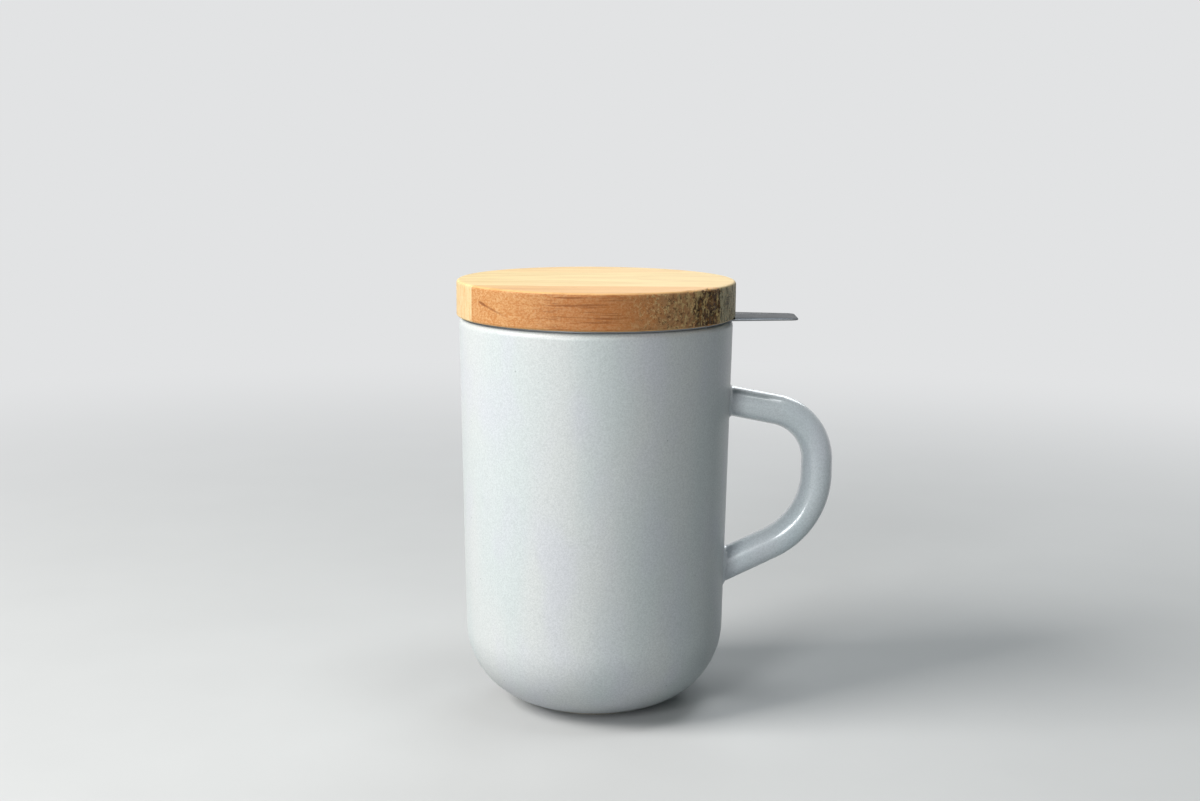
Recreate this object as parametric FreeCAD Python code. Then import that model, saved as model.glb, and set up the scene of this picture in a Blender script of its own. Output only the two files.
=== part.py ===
import FreeCAD, Part
import math
import os

# A lidded tea mug with a hanging steel infuser. Lengths are millimetres and angles are degrees.
# The origin is on the mug's axis, on the table under the foot ring.
# +Z is up, and +X points along the handle and the infuser's tab.

# Mug body
mug_height = 121.0
rim_radius = 42.0
side_taper = 1.8
corner_radius = 24.5
belly_lift = 0.5
wall = 3.8
floor_thickness = 5.0
lip_flat = 0.4
lip_outer_round = 2.2

# Foot ring under the mug
foot_spread = 3.8
foot_width = 3.4
foot_round = 0.4
recess_depth = 1.4

# Handle, measured along its middle line
handle_out = 27.0
handle_drop = 25.6
handle_span = 52.7
handle_top_slope = 10.5
handle_low_slope = 26.0
handle_top_bend = 16.0
handle_low_bend = 25.0
handle_top_thickness = 9.2
handle_low_thickness = 10.0
handle_width = 11.0
root_flare = 1.1
root_flare_length = 4.0
root_turn_length = 10.0
root_depth = 3.0

# Infuser sheet, rim plate and tab
sheet = 0.5
plate_inset = 0.5
collar_play = 1.2
tab_length = 20.0
tab_root_width = 21.0
tab_tip_width = 15.0
tab_tip_round = 2.6
tab_root_round = 3.0

# Infuser basket
collar_height = 12.0
basket_depth = 85.0
basket_taper = 2.45
basket_overlap = 4.0
weld_gap = 0.05
dish_round = 1.0
skirt_height = 4.0

# Slots pierced in the basket
slot_width = 0.9
slot_length = 10.0
slot_bridge = 2.6
slot_spacing = 5.0
slot_margin = 2.0
floor_slot_length = 5.0
floor_slot_bridge = 1.6
floor_slot_spacing = 5.8

# Wooden lid, glued up from three staves
lid_overhang = 0.7
lid_thickness = 11.0
lid_top_round = 1.0
lid_edge_round = 0.7
plug_clearance = 2.5
plug_depth = 7.5
plug_edge_round = 0.8
stave_width = 43.0
stave_offset = -0.5

# Seal ring in the plug's groove
groove_drop = 2.2
groove_height = 3.2
groove_depth = 1.5
seal_gap = 0.05
seal_clearance = 0.3
seal_fin = 0.8
seal_body = 2.1

# Heights and radii that follow from the sizes above
lower_radius = rim_radius - side_taper
foot_radius = lower_radius - corner_radius + foot_spread
mug_floor = belly_lift + floor_thickness
mouth_radius = rim_radius - wall
handle_reach = rim_radius + handle_out
handle_top_height = mug_height - handle_drop
handle_low_height = handle_top_height - handle_span
plate_top = mug_height + sheet
plate_radius = rim_radius - plate_inset
collar_radius = mouth_radius - collar_play
collar_bore = collar_radius - sheet
collar_bottom = plate_top - collar_height
basket_bottom = plate_top - basket_depth
basket_top = collar_bottom + basket_overlap
basket_seat = basket_bottom + sheet + dish_round
basket_top_radius = collar_bore - weld_gap
basket_floor_radius = basket_top_radius - basket_taper
lid_radius = rim_radius + lid_overhang
plug_radius = collar_bore - plug_clearance
plug_bottom = plate_top - plug_depth
front_joint = stave_offset - stave_width / 2
back_joint = stave_offset + stave_width / 2
groove_top = plate_top - groove_drop
groove_bottom = groove_top - groove_height
groove_radius = plug_radius - groove_depth

ORIGIN = FreeCAD.Vector(0, 0, 0)
UP = FreeCAD.Vector(0, 0, 1)
ACROSS = FreeCAD.Vector(0, 1, 0)


def at(x, z, y=0.0):
    """Point in the upright plane through the handle, or beside it by y."""
    return FreeCAD.Vector(x, y, z)


def rounded_edges(corners, closed):
    """Lines through the (x, z, radius) corners, each rounded by an arc tangent to both its lines."""
    points = [at(x, z) for x, z, radius in corners]
    count = len(points)
    starts, ends, arcs = [], [], []
    for i, (x, z, radius) in enumerate(corners):
        here = points[i]
        if radius == 0 or (not closed and i in (0, count - 1)):
            starts.append(here)
            ends.append(here)
            arcs.append(None)
            continue
        back = (points[i - 1] - here).normalize()
        ahead = (points[(i + 1) % count] - here).normalize()
        half = back.getAngle(ahead) / 2
        run = radius / math.tan(half)
        middle = (back + ahead).normalize()
        nearest = here + middle * (radius / math.sin(half) - radius)
        starts.append(here + back * run)
        ends.append(here + ahead * run)
        arcs.append(Part.Arc(starts[-1], nearest, ends[-1]).toShape())
    edges = []
    for i in range(count):
        if arcs[i]:
            edges.append(arcs[i])
        following = (i + 1) % count
        if (closed or following) and (starts[following] - ends[i]).Length > 1e-6:
            edges.append(Part.makeLine(ends[i], starts[following]))
    return edges


def turned(corners):
    """Solid turned about the upright axis from a closed outline of (radius, height, rounding) corners."""
    outline = Part.Face(Part.Wire(rounded_edges(corners, closed=True)))
    return outline.revolve(ORIGIN, UP, 360)


def side_radius(z):
    """Outside radius of the mug's tapering side at height z."""
    start = belly_lift + corner_radius
    return lower_radius + (rim_radius - lower_radius) * (z - start) / (mug_height - start)


def inner_side_radius(z):
    """Radius of the mug's bore at height z, one wall inside the side."""
    return side_radius(z) - wall


def basket_radius(z):
    """Outside radius of the basket's tapering wall at height z."""
    share = (z - basket_seat) / (basket_top - basket_seat)
    return basket_floor_radius + (basket_top_radius - basket_floor_radius) * share


def make_mug_body():
    """Thrown mug: one shell from the floor over the lip, with a turned foot ring under it."""
    lip_inner_round = wall - lip_flat - lip_outer_round
    shell = turned([
        (0, mug_floor, 0),
        (inner_side_radius(mug_floor), mug_floor, corner_radius - wall),
        (mouth_radius, mug_height, lip_inner_round),
        (rim_radius, mug_height, lip_outer_round),
        (side_radius(belly_lift), belly_lift, corner_radius),
        (0, belly_lift, 0),
    ])
    foot_inner = foot_radius - foot_width
    foot = turned([
        (foot_inner, 0, foot_round),
        (foot_radius, 0, foot_round),
        (foot_radius, belly_lift + floor_thickness / 2, 0),
        (foot_inner, belly_lift + floor_thickness / 2, 0),
    ])
    recess = Part.makeCylinder(foot_inner, recess_depth + 1, ORIGIN - UP)
    body = shell.cut(recess).fuse(foot)
    return body.removeSplitter()


def mug_outside():
    """The mug's outer form without its hollow, which trims the handle to the wall."""
    return turned([
        (0, mug_height, 0),
        (rim_radius, mug_height, lip_outer_round),
        (side_radius(belly_lift), belly_lift, corner_radius),
        (0, belly_lift, 0),
    ])


def handle_line():
    """Middle line of the handle: out from the wall, down and back, with two wide bends."""
    inside = lower_radius - root_depth
    top_fall = math.tan(math.radians(handle_top_slope))
    low_fall = math.tan(math.radians(handle_low_slope))
    out = handle_reach - lower_radius
    return rounded_edges([
        (inside, handle_top_height + top_fall * root_depth, 0),
        (handle_reach, handle_top_height - top_fall * out, handle_top_bend),
        (handle_reach, handle_low_height + low_fall * out, handle_low_bend),
        (inside, handle_low_height - low_fall * root_depth, 0),
    ], closed=False)


def handle_section(point, direction, share):
    """Oval across the handle's line, turned upright and flared where it meets the wall."""
    off_wall = point.x - side_radius(point.z)
    near = min(max(1 - off_wall / root_turn_length, 0), 1)
    turn = near * near * (3 - 2 * near)
    level = FreeCAD.Vector(math.copysign(1, direction.x), 0, 0) if off_wall < root_turn_length else direction
    normal = (direction * (1 - turn) + level * turn).normalize()
    slant = direction.dot(normal)
    spread = root_flare * max(1 - max(off_wall, -root_flare) / root_flare_length, 0) ** 2
    thickness = handle_top_thickness + (handle_low_thickness - handle_top_thickness) * share
    tall = thickness / 2 / slant + spread
    wide = handle_width / 2 + spread
    upright = normal.cross(ACROSS).normalize()
    if tall >= wide:
        ellipse = Part.Ellipse(point + upright * tall, point + ACROSS * wide, point)
    else:
        ellipse = Part.Ellipse(point + ACROSS * wide, point - upright * tall, point)
    return Part.Wire(ellipse.toShape())


def make_mug_handle():
    """Drawn handle: ovals lofted along its line, cut to the wall that it is luted to."""
    stations = []
    for edge in handle_line():
        bend = edge.Curve.TypeId == "Part::GeomCircle"
        steps = 7 if bend else max(2, round(edge.Length / 1.6))
        low, high = edge.ParameterRange
        for i in range(steps):
            place = low + (high - low) * i / steps
            stations.append((edge.valueAt(place), edge.tangentAt(place)))
    stations.append((edge.valueAt(high), edge.tangentAt(high)))
    last = len(stations) - 1
    ovals = [handle_section(p, t, i / last) for i, (p, t) in enumerate(stations)]
    return Part.makeLoft(ovals, True).cut(mug_outside())


def upright_edges(plate, near, far):
    """The plate's short upright edges that lie between two distances along X."""
    found = []
    for edge in plate.Edges:
        box = edge.BoundBox
        if box.ZLength > sheet / 2 and box.XLength < sheet / 2 and near < box.Center.x < far:
            found.append(edge)
    return found


def make_infuser_rim():
    """Stamped flat ring that hangs on the lip, with its lifting tab on the handle's side."""
    ring = Part.makeCylinder(plate_radius, sheet, at(0, mug_height))
    tip = plate_radius + tab_length
    root, end = tab_root_width / 2, tab_tip_width / 2
    corner = math.sqrt(plate_radius ** 2 - root ** 2)
    inside = corner - tab_root_round
    base = root + (root - end) * (corner - inside) / (tip - corner)
    outline = [at(inside, mug_height, -base), at(tip, mug_height, -end),
               at(tip, mug_height, end), at(inside, mug_height, base)]
    tab = Part.Face(Part.makePolygon(outline + outline[:1])).extrude(UP * sheet)
    plate = ring.fuse(tab).removeSplitter()
    plate = plate.makeFillet(tab_root_round, upright_edges(plate, inside, plate_radius - sheet / 2))
    plate = plate.makeFillet(tab_tip_round, upright_edges(plate, tip - sheet, tip + sheet))
    return plate.cut(Part.makeCylinder(collar_radius, 3 * sheet, at(0, mug_height - sheet)))


def make_infuser_collar():
    """Plain band welded into the rim plate, where the lid's plug goes in."""
    return turned([
        (collar_bore, collar_bottom, 0),
        (collar_radius, collar_bottom, 0),
        (collar_radius, plate_top, 0),
        (collar_bore, plate_top, 0),
    ])


def slot_cutter(length, radius, depth):
    """Bar along X that pierces a slot of the given length, lying upright at the given radius."""
    return Part.makeBox(depth, slot_width, length, at(radius - depth / 2, -length / 2, -slot_width / 2))


def make_infuser_wall():
    """Rolled sheet, tapering to the floor, pierced by staggered tiers of upright slots."""
    cone = turned([
        (basket_radius(basket_seat), basket_seat, 0),
        (basket_radius(basket_top), basket_top, 0),
        (basket_radius(basket_top) - sheet, basket_top, 0),
        (basket_radius(basket_seat) - sheet, basket_seat, 0),
    ])
    low = basket_seat + skirt_height + slot_margin
    high = collar_bottom - slot_margin
    tiers = int((high - low + slot_bridge) / (slot_length + slot_bridge))
    columns = int(2 * math.pi * basket_floor_radius / slot_spacing)
    spare = (high - low - tiers * slot_length - (tiers - 1) * slot_bridge) / 2
    bar = slot_cutter(slot_length, (basket_floor_radius + basket_top_radius) / 2, 8 * sheet + slot_bridge)
    bars = []
    for tier in range(tiers):
        height = low + spare + slot_length / 2 + tier * (slot_length + slot_bridge)
        for column in range(columns):
            piece = bar.copy()
            piece.rotate(ORIGIN, UP, 360 * (column + tier % 2 / 2) / columns)
            piece.translate(UP * height)
            bars.append(piece)
    return cone.cut(Part.makeCompound(bars))


def make_infuser_floor():
    """Drawn dish welded round the basket's foot, with rings of slots that point at its centre."""
    inner = basket_radius(basket_seat) + weld_gap
    skirt_top = basket_seat + skirt_height
    inner_top = basket_radius(skirt_top) + weld_gap
    floor_top = basket_bottom + sheet
    lean = (inner_top - inner) / skirt_height
    foot = inner - lean * dish_round
    dish = turned([
        (0, basket_bottom, 0),
        (foot + sheet, basket_bottom, dish_round + sheet),
        (inner_top + sheet, skirt_top, 0),
        (inner_top, skirt_top, 0),
        (foot, floor_top, dish_round),
        (0, floor_top, 0),
    ])
    bars = []
    pitch = floor_slot_length + floor_slot_bridge
    rings = int((foot - dish_round - slot_margin) / pitch)
    for ring in range(1, rings + 1):
        radius = ring * pitch
        count = int(2 * math.pi * radius / floor_slot_spacing)
        bar = Part.makeBox(floor_slot_length, slot_width, 3 * sheet,
                           at(radius - floor_slot_length / 2, basket_bottom - sheet, -slot_width / 2))
        for i in range(count):
            piece = bar.copy()
            piece.rotate(ORIGIN, UP, 360 * i / count)
            bars.append(piece)
    return dish.cut(Part.makeCompound(bars))


def lid_board():
    """The whole lid as it is turned: board, eased edges, plug and seal groove."""
    lid_top = plate_top + lid_thickness
    return turned([
        (0, plug_bottom, 0),
        (plug_radius, plug_bottom, plug_edge_round),
        (plug_radius, groove_bottom, 0),
        (groove_radius, groove_bottom, 0),
        (groove_radius, groove_top, 0),
        (plug_radius, groove_top, 0),
        (plug_radius, plate_top, 0),
        (lid_radius, plate_top, lid_edge_round),
        (lid_radius, lid_top, lid_top_round),
        (0, lid_top, 0),
    ])


def make_stave(near, far):
    """One stave: the part of the lid between two upright planes across Y."""
    height = lid_thickness + plug_depth
    slab = Part.makeBox(2 * lid_radius, far - near, height, at(-lid_radius, plug_bottom, near))
    return lid_board().common(slab)


def make_lid_seal():
    """Soft ring in the plug's groove, with two thin fins that wipe the collar."""
    inner = groove_radius + seal_gap
    outer = inner + seal_body
    tip = collar_bore - seal_clearance
    low = groove_bottom
    high = groove_top - seal_gap
    waist = (high - low - 2 * seal_fin) / 2
    return turned([
        (inner, low, 0),
        (outer, low, 0),
        (tip, low + seal_fin / 2, 0),
        (tip, low + seal_fin, 0),
        (outer, low + seal_fin, 0),
        (outer, high - seal_fin - waist / 4, 0),
        (tip, high - seal_fin / 2, 0),
        (tip, high, 0),
        (inner, high, 0),
    ])


def make_parts():
    """Every piece by its name."""
    return {
        "mug_body": make_mug_body(),
        "mug_handle": make_mug_handle(),
        "infuser_rim": make_infuser_rim(),
        "infuser_collar": make_infuser_collar(),
        "infuser_wall": make_infuser_wall(),
        "infuser_floor": make_infuser_floor(),
        "lid_stave_front": make_stave(-lid_radius, front_joint),
        "lid_stave_middle": make_stave(front_joint, back_joint),
        "lid_stave_back": make_stave(back_joint, lid_radius),
        "lid_seal": make_lid_seal(),
    }


os.makedirs("parts", exist_ok=True)
for name, shape in make_parts().items():
    solids = shape.Solids
    box = shape.BoundBox
    print(f"{name}: {len(solids)} solid, valid {shape.isValid()}, {shape.Volume / 1000:.2f} cm3,"
          f" x {box.XMin:.2f} to {box.XMax:.2f}, z {box.ZMin:.2f} to {box.ZMax:.2f}")
    shape.exportStep(f"parts/{name}.step")
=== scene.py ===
"""Looks of a lidded tea mug with a steel infuser and a wooden lid glued up from three staves."""

import logging
import math
from dataclasses import dataclass
from enum import Enum
from functools import partial, reduce

import bmesh
import bpy
import numpy as np
from mathutils import Matrix, Vector


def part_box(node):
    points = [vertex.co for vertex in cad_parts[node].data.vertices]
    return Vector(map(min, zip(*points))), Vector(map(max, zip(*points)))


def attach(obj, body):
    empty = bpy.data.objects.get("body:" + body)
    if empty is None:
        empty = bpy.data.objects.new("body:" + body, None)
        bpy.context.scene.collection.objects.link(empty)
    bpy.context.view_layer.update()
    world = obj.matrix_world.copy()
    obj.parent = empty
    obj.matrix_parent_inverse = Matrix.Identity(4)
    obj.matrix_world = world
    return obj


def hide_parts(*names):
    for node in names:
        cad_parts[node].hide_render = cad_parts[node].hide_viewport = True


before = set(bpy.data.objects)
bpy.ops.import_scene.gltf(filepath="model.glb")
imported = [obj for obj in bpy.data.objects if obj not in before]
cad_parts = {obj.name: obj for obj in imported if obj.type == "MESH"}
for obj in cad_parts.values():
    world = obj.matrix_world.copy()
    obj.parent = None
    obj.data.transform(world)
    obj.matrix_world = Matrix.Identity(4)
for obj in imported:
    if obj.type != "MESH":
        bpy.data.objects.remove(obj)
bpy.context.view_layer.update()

LOG = logging.getLogger("tea_mug")
MM = 0.001
PER_METRE = 1000.0
MERGE = 0.002 * MM
SLIVER = 0.0005 * MM
SHARP = 32.0

Colour = tuple[float, float, float]
Place = tuple[float, float, float]
Mesh = tuple[np.ndarray, np.ndarray]
Socket = bpy.types.NodeSocket


class Body(Enum):
    """The rigid bodies that the pieces ride on."""

    MUG = "mug"
    INFUSER = "infuser"
    LID = "lid"


class Slot(Enum):
    """The material slots of the record."""

    GLAZE = "glaze"
    STEEL = "steel"
    WOOD_FRONT = "wood_front"
    WOOD_MIDDLE = "wood_middle"
    WOOD_BACK = "wood_back"
    SILICONE = "silicone"


class Side(Enum):
    """Which side of the lid a stave is on, as the sign of its y."""

    FRONT = -1
    BACK = 1


class Kind(Enum):
    """Types of a node group's sockets."""

    COLOUR = "NodeSocketColor"
    VALUE = "NodeSocketFloat"
    VECTOR = "NodeSocketVector"


def srgb(red: int, green: int, blue: int) -> Colour:
    """Linear colour of an 8-bit screen colour.

    Args:
        red: Red from 0 to 255.
        green: Green from 0 to 255.
        blue: Blue from 0 to 255.

    Returns:
        The three linear values.
    """
    values = np.array([red, green, blue]) / 255.0
    linear = np.where(values <= 0.04045, values / 12.92, ((values + 0.055) / 1.055) ** 2.4)
    return tuple(float(value) for value in linear)


def node_box(node: str) -> list[list[float]]:
    """Lowest and highest corner of a frame node in millimetres."""
    return [[value / MM for value in corner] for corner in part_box(node)]


# Surfaces


def rounded_profile(corners: list[tuple[float, float, float]], closed: bool,
                    arc_step: float = 5.0) -> np.ndarray:
    """Points along straight runs joined by tangent arcs.

    At a corner of half angle h and rounding r the arc starts r / tan h before the corner,
    and its centre lies r / sin h from the corner along the bisector.

    Args:
        corners: Corners as (across, up, rounding).
        closed: True if the last corner runs on to the first.
        arc_step: Degrees between two points of an arc.

    Returns:
        An (n, 2) array of points.
    """
    places = np.array([corner[:2] for corner in corners], float)
    count = len(corners)
    points = []
    for i, (_, _, rounding) in enumerate(corners):
        here = places[i]
        if rounding == 0 or (not closed and i in (0, count - 1)):
            points.append(here[None])
            continue
        back = places[i - 1] - here
        ahead = places[(i + 1) % count] - here
        back, ahead = back / np.linalg.norm(back), ahead / np.linalg.norm(ahead)
        half = math.acos(float(np.clip(back @ ahead, -1, 1))) / 2
        middle = (back + ahead) / np.linalg.norm(back + ahead)
        centre = here + middle * rounding / math.sin(half)
        start = here + back * rounding / math.tan(half) - centre
        turn = math.pi - 2 * half
        sense = math.copysign(1.0, float(back[0] * ahead[1] - back[1] * ahead[0]))
        steps = max(3, math.ceil(math.degrees(turn) / arc_step) + 1)
        angle = -sense * np.linspace(0, turn, steps)
        points.append(centre + np.stack([start[0] * np.cos(angle) - start[1] * np.sin(angle),
                                         start[0] * np.sin(angle) + start[1] * np.cos(angle)], 1))
    return np.concatenate(points)


def finer(profile: np.ndarray, longest: float, closed: bool = False) -> np.ndarray:
    """The same profile with no run longer than a limit.

    Args:
        profile: An (n, 2) array of points.
        longest: Longest run allowed, in the profile's units.
        closed: True if the last point runs on to the first.

    Returns:
        A profile with points added along its long runs.
    """
    ends = np.roll(profile, -1, axis=0) if closed else profile[1:]
    runs = []
    for start, end in zip(profile, ends):
        parts = max(1, math.ceil(float(np.linalg.norm(end - start)) / longest))
        runs.append(start + (end - start) * np.arange(parts)[:, None] / parts)
    if not closed:
        runs.append(profile[-1:])
    return np.concatenate(runs)


def grid_faces(rows: int, columns: int, wrap_rows: bool = False,
               wrap_columns: bool = False) -> np.ndarray:
    """Quads of a grid whose points are stored row by row.

    Args:
        rows: Number of rows of points.
        columns: Number of points in a row.
        wrap_rows: True if the last row joins the first.
        wrap_columns: True if a row's last point joins its first.

    Returns:
        An (n, 4) array of point numbers.
    """
    i, j = np.meshgrid(np.arange(rows if wrap_rows else rows - 1),
                       np.arange(columns if wrap_columns else columns - 1), indexing="ij")
    i, j = i.ravel(), j.ravel()
    down, right = (i + 1) % rows, (j + 1) % columns
    return np.stack([i * columns + j, i * columns + right, down * columns + right,
                     down * columns + j], 1)


def turned_surface(profile: np.ndarray, around: int, closed: bool) -> Mesh:
    """Surface of revolution: P(u, v) = (r(v) cos u, r(v) sin u, z(v)).

    Args:
        profile: Points (r, z) along v.
        around: Number of steps of u over the full turn.
        closed: True if the profile is a closed loop.

    Returns:
        Points and quads.
    """
    angle = np.arange(around) * 2 * math.pi / around
    radius, height = profile[:, :1], profile[:, 1:]
    points = np.stack([radius * np.cos(angle), radius * np.sin(angle), height + 0 * angle], 2)
    return points.reshape(-1, 3), grid_faces(len(profile), around, closed, True)


def joined(meshes: list[Mesh]) -> Mesh:
    """Several meshes as one.

    Args:
        meshes: Their points and quads.

    Returns:
        All points and quads.
    """
    starts = np.cumsum([0] + [len(points) for points, _ in meshes[:-1]])
    return (np.concatenate([points for points, _ in meshes]),
            np.concatenate([faces + start for (_, faces), start in zip(meshes, starts)]))


def make_piece(name: str, mesh: Mesh, sharp: float = SHARP) -> bpy.types.Object:
    """A smooth-shaded piece with its seams and poles closed.

    Args:
        name: Name of the piece.
        mesh: Its points in millimetres, and its quads.
        sharp: Angle in degrees above which an edge stays sharp.

    Returns:
        The new object, at the origin, with its normals pointing outwards.
    """
    points, faces = mesh
    data = bpy.data.meshes.new(name)
    data.from_pydata((points * MM).tolist(), [], faces.tolist())
    closer = bmesh.new()
    closer.from_mesh(data)
    bmesh.ops.remove_doubles(closer, verts=closer.verts, dist=MERGE)
    bmesh.ops.dissolve_degenerate(closer, edges=closer.edges, dist=SLIVER)
    bmesh.ops.recalc_face_normals(closer, faces=closer.faces)
    closer.to_mesh(data)
    closer.free()
    data.shade_smooth()
    data.set_sharp_from_angle(angle=math.radians(sharp))
    piece = bpy.data.objects.new(name, data)
    bpy.context.scene.collection.objects.link(piece)
    return piece


def fit(piece: bpy.types.Object, finish: bpy.types.Material, body: Body, slot: Slot,
        *nodes: str) -> bpy.types.Object:
    """Gives a piece its finish and its body, and hides the frame nodes that it stands for.

    Args:
        piece: The new piece.
        finish: Its material.
        body: Body that carries it.
        slot: Material slot of the record; not used.
        *nodes: Frame nodes that it replaces.

    Returns:
        The same piece.
    """
    piece.data.materials.append(finish)
    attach(piece, body.value)
    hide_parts(*nodes)
    LOG.info("%s: %d points, %d faces", piece.name, len(piece.data.vertices),
             len(piece.data.polygons))
    return piece


# Shading


class Graph:
    """Short calls for laying out a node tree. A number is a float or the socket of one."""

    def __init__(self, tree: bpy.types.NodeTree) -> None:
        """Keeps the tree that the nodes go into."""
        self.tree = tree

    def feed(self, node: bpy.types.Node, values: dict) -> None:
        """Links sockets to a node's inputs, and sets plain values on them.

        Args:
            node: The node.
            values: A socket, number, vector or colour for each input, by name or number.
        """
        for key, value in values.items():
            taker = node.inputs[key]
            if isinstance(value, Socket):
                self.tree.links.new(value, taker)
            else:
                taker.default_value = (*value, 1.0) if taker.type == "RGBA" else value

    def add(self, kind: str, values: dict | None = None, **settings: object) -> bpy.types.Node:
        """Adds a node.

        Args:
            kind: Its type name without the leading "ShaderNode".
            values: What its inputs are fed with.
            **settings: The node's own properties.

        Returns:
            The node.
        """
        node = self.tree.nodes.new("ShaderNode" + kind)
        for key, value in settings.items():
            setattr(node, key, value)
        self.feed(node, values or {})
        return node

    def math(self, operation: str, first: float | Socket, second: float | Socket = 0.0,
             clamp: bool = False) -> Socket:
        """Result of a named sum on one or two numbers, kept within 0 and 1 if clamp is set."""
        node = self.add("Math", {0: first, 1: second}, operation=operation, use_clamp=clamp)
        return node.outputs[0]

    def times(self, *numbers: float | Socket) -> Socket:
        """Product of numbers."""
        return reduce(partial(self.math, "MULTIPLY"), numbers)

    def plus(self, *numbers: float | Socket, clamp: bool = False) -> Socket:
        """Sum of numbers, kept within 0 and 1 if clamp is set."""
        return self.math("ADD", reduce(partial(self.math, "ADD"), numbers[:-1]), numbers[-1], clamp)

    def minus(self, first: float | Socket, second: float | Socket) -> Socket:
        """First number less the second."""
        return self.math("SUBTRACT", first, second)

    def band(self, value: Socket, low: float, high: float, start: float = 0.0,
             end: float = 1.0) -> Socket:
        """Value carried smoothly from the range low to high to start to end, and held past it."""
        span = {"Value": value, "From Min": low, "From Max": high, "To Min": start, "To Max": end}
        return self.add("MapRange", span, interpolation_type="SMOOTHSTEP").outputs["Result"]

    def mix(self, share: float | Socket, first: Colour | Socket, second: Colour | Socket,
            blend: str = "MIX") -> Socket:
        """Mix of two colours with a share of the second, blended in a named way."""
        values = {0: share, 6: first, 7: second}
        return self.add("Mix", values, data_type="RGBA", blend_type=blend).outputs[2]

    def stretched(self, vector: Socket, scale: Place, move: Place = (0, 0, 0)) -> Socket:
        """Coordinates scaled along each axis and then moved."""
        return self.add("Mapping", {"Vector": vector, "Scale": scale, "Location": move}).outputs[0]

    def moved(self, vector: Socket, by: Socket) -> Socket:
        """Coordinates moved by another vector."""
        return self.add("VectorMath", {0: vector, 1: by}, operation="ADD").outputs[0]

    def parts(self, vector: Socket) -> bpy.types.NodeOutputs:
        """The X, Y and Z of a vector."""
        return self.add("SeparateXYZ", {0: vector}).outputs

    def noise(self, vector: Socket, scale: float, detail: float = 2.0,
              roughness: float = 0.5) -> Socket:
        """Smooth noise from 0 to 1 with a number of finer layers and their strength."""
        values = {"Vector": vector, "Scale": scale, "Detail": detail, "Roughness": roughness}
        return self.add("TexNoise", values).outputs["Fac"]

    def grain(self, vector: Socket, scale: Place, detail: float = 2.0, roughness: float = 0.5,
              move: Place = (0, 0, 0)) -> Socket:
        """Noise with its own scale along each axis."""
        return self.noise(self.stretched(vector, scale, move), 1.0, detail, roughness)

    def cells(self, vector: Socket, scale: float = 1.0) -> Socket:
        """Distance to the nearest of many scattered points."""
        node = self.add("TexVoronoi", {"Vector": vector, "Scale": scale}, feature="F1")
        return node.outputs["Distance"]

    def put_out(self, colour: Socket, **numbers: Socket) -> bpy.types.NodeTree:
        """Ends a node group with its results.

        Args:
            colour: Its colour, which is put out as Color.
            **numbers: Its other results, by the name that they are put out as.

        Returns:
            The finished group.
        """
        end = self.tree.nodes.new("NodeGroupOutput")
        for label, value in {"Color": colour, **numbers}.items():
            kind = Kind.COLOUR if value is colour else Kind.VALUE
            self.tree.interface.new_socket(name=label, in_out="OUTPUT", socket_type=kind.value)
            self.tree.links.new(value, end.inputs[label])
        return self.tree


class MaterialGraph(Graph):
    """Graph of a new material, with its shader, its coordinates in millimetres and its normal."""

    def __init__(self, name: str) -> None:
        """Makes the material.

        Args:
            name: Its name.
        """
        self.material = bpy.data.materials.new(name)
        self.material.use_nodes = True
        super().__init__(self.material.node_tree)
        self.shader = self.tree.nodes["Principled BSDF"]
        given = self.add("TexCoord").outputs
        self.place = self.stretched(given["Object"], (PER_METRE, PER_METRE, PER_METRE))
        self.normal = given["Normal"]

    def effect(self, tree: bpy.types.NodeTree, values: dict) -> bpy.types.NodeOutputs:
        """Outputs of a shared effect at the piece's own coordinates, fed with its own values."""
        return self.add("Group", {"Vector": self.place, **values}, node_tree=tree).outputs

    def shade(self, values: dict) -> None:
        """Feeds the shader."""
        self.feed(self.shader, values)

    def bump(self, height: Socket, depth: float) -> None:
        """Raises the surface by a height, of which 1 stands for a depth in millimetres."""
        node = self.add("Bump", {"Height": height, "Strength": 1.0, "Distance": depth * MM})
        self.shade({"Normal": node.outputs[0]})


def new_group(name: str, colours: list[str],
              numbers: list[str]) -> tuple[Graph, bpy.types.NodeOutputs]:
    """A new node group that is fed with coordinates, named Vector, and with colours and numbers.

    Args:
        name: Name of the group.
        colours: Names of its colours.
        numbers: Names of its numbers.

    Returns:
        The group's graph, and the sockets that carry what it is fed with.
    """
    tree = bpy.data.node_groups.new(name, "ShaderNodeTree")
    kinds = {"Vector": Kind.VECTOR, **dict.fromkeys(colours, Kind.COLOUR),
             **dict.fromkeys(numbers, Kind.VALUE)}
    for label, kind in kinds.items():
        tree.interface.new_socket(name=label, in_out="INPUT", socket_type=kind.value)
    return Graph(tree), tree.nodes.new("NodeGroupInput").outputs


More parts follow.
